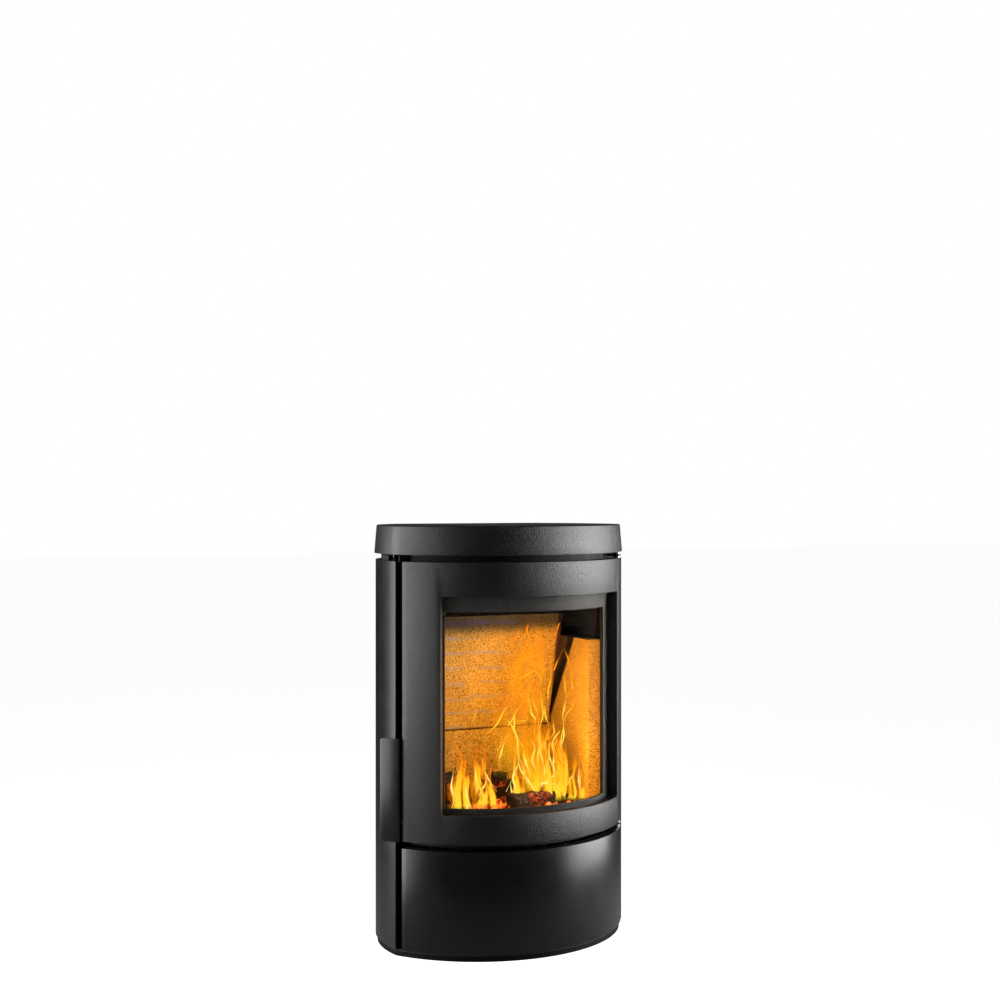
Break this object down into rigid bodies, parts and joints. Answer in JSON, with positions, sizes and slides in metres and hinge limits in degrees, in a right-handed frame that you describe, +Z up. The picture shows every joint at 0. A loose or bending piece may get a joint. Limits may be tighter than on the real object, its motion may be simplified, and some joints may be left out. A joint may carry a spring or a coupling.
{
  "type": "wall-mounted wood stove",
  "caption": "Wall-hung wood stove with a curved cast door and window, lined firebox, riddling grate, ash pan behind a lower door, rear flue and air inlets and a wall bracket.",
  "frame": {"origin": "middle of the four wall fixing holes, on the wall surface", "axes": "+X to the right as seen from the room, +Y into the wall, +Z up"},
  "size_m": [0.4992, 0.3694, 0.771],
  "materials": {
    "black_paint": "matt heat-resistant black paint on sheet steel",
    "black_casting": "matt black paint on sand-cast iron",
    "bare_steel": "bright steel, heat-tinted near the fire",
    "galvanised": "zinc-plated sheet",
    "vermiculite": "pressed vermiculite board",
    "glass_ceramic": "clear glass-ceramic",
    "rope": "knitted glass-fibre rope",
    "magnet": "magnet in a dark case"
  },
  "bodies": {
    "stove": {"plinth": "black_paint", "base_plate": "black_paint", "right_side_panel": "black_paint", "left_side_panel": "black_paint", "panel_hangers": "black_paint", "front_frame": "black_paint", "firebox_right_wall": "black_paint", "firebox_left_wall": "black_paint", "firebox_back_wall": "black_paint", "firebox_floor": "black_paint", "firebox_top": "black_paint", "top_outlet_cover": "black_paint", "wall_bracket": "black_paint", "hanging_bar": "black_paint", "flue_collar": "black_paint", "hinge_lugs": "black_paint", "catch_bracket": "black_paint", "baffle_ledges": "black_paint", "ash_housing": "black_paint", "riddle_guides": "black_paint", "air_guides": "black_paint", "air_duct": "black_paint", "latch_keepers": "black_paint", "top_plate": "black_casting", "grate": "black_casting", "hinge_pins": "bare_steel", "hinge_washers": "bare_steel", "right_inner_jacket": "galvanised", "left_inner_jacket": "galvanised", "back_panel": "galvanised", "air_spigot": "galvanised", "spacer_pads": "galvanised", "right_side_brick": "vermiculite", "left_side_brick": "vermiculite", "lower_back_brick": "vermiculite", "upper_back_brick": "vermiculite", "baffle": "vermiculite", "base_bricks": "vermiculite", "catch_magnet": "magnet"},
    "door": {"door_casting": "black_casting", "door_glass": "glass_ceramic", "glass_seal": "rope", "glass_frame": "black_paint", "glass_screws": "bare_steel", "door_seal": "rope", "handle_pin": "bare_steel", "handle_bracket": "black_paint"},
    "handle": {"door_handle": "black_paint", "latch_arms": "bare_steel", "latch_rollers": "bare_steel"},
    "lower_door": {"lower_front": "black_paint", "lower_front_strike": "bare_steel"},
    "ash_drawer": {"ash_pan": "galvanised", "ash_pan_handle": "bare_steel"},
    "riddler": {"riddle_plate": "bare_steel", "riddle_rod": "bare_steel", "riddle_knob": "bare_steel"},
    "air_control": {"air_slide": "bare_steel", "air_knob": "bare_steel"}
  },
  "joints": [
    {"name": "door_hinge", "type": "hinge", "parent": "stove", "child": "door", "pos_m": [0.21731, -0.2482, 0], "axis": [0, 0, 1], "range_deg": [0, 110]},
    {"name": "handle_turn", "type": "hinge", "parent": "door", "child": "handle", "pos_m": [-0.22639, -0.24009, 0], "axis": [0, 0, 1], "range_deg": [0, 25]},
    {"name": "lower_door_hinge", "type": "hinge", "parent": "stove", "child": "lower_door", "pos_m": [0.21731, -0.2482, 0], "axis": [0, 0, 1], "range_deg": [0, 100]},
    {"name": "ash_pan_slide", "type": "slide", "parent": "stove", "child": "ash_drawer", "axis": [0, -1, 0], "range_m": [0, 0.172]},
    {"name": "riddle_slide", "type": "slide", "parent": "stove", "child": "riddler", "axis": [0, -1, 0], "range_m": [0, 0.022]},
    {"name": "air_slide_travel", "type": "slide", "parent": "stove", "child": "air_control", "axis": [1, 0, 0], "range_m": [0, 0.014]}
  ],
  "couplings": [
    {"joint": "ash_pan_slide", "follows": "lower_door_hinge", "m_per_rad": 0.0974}
  ]
}
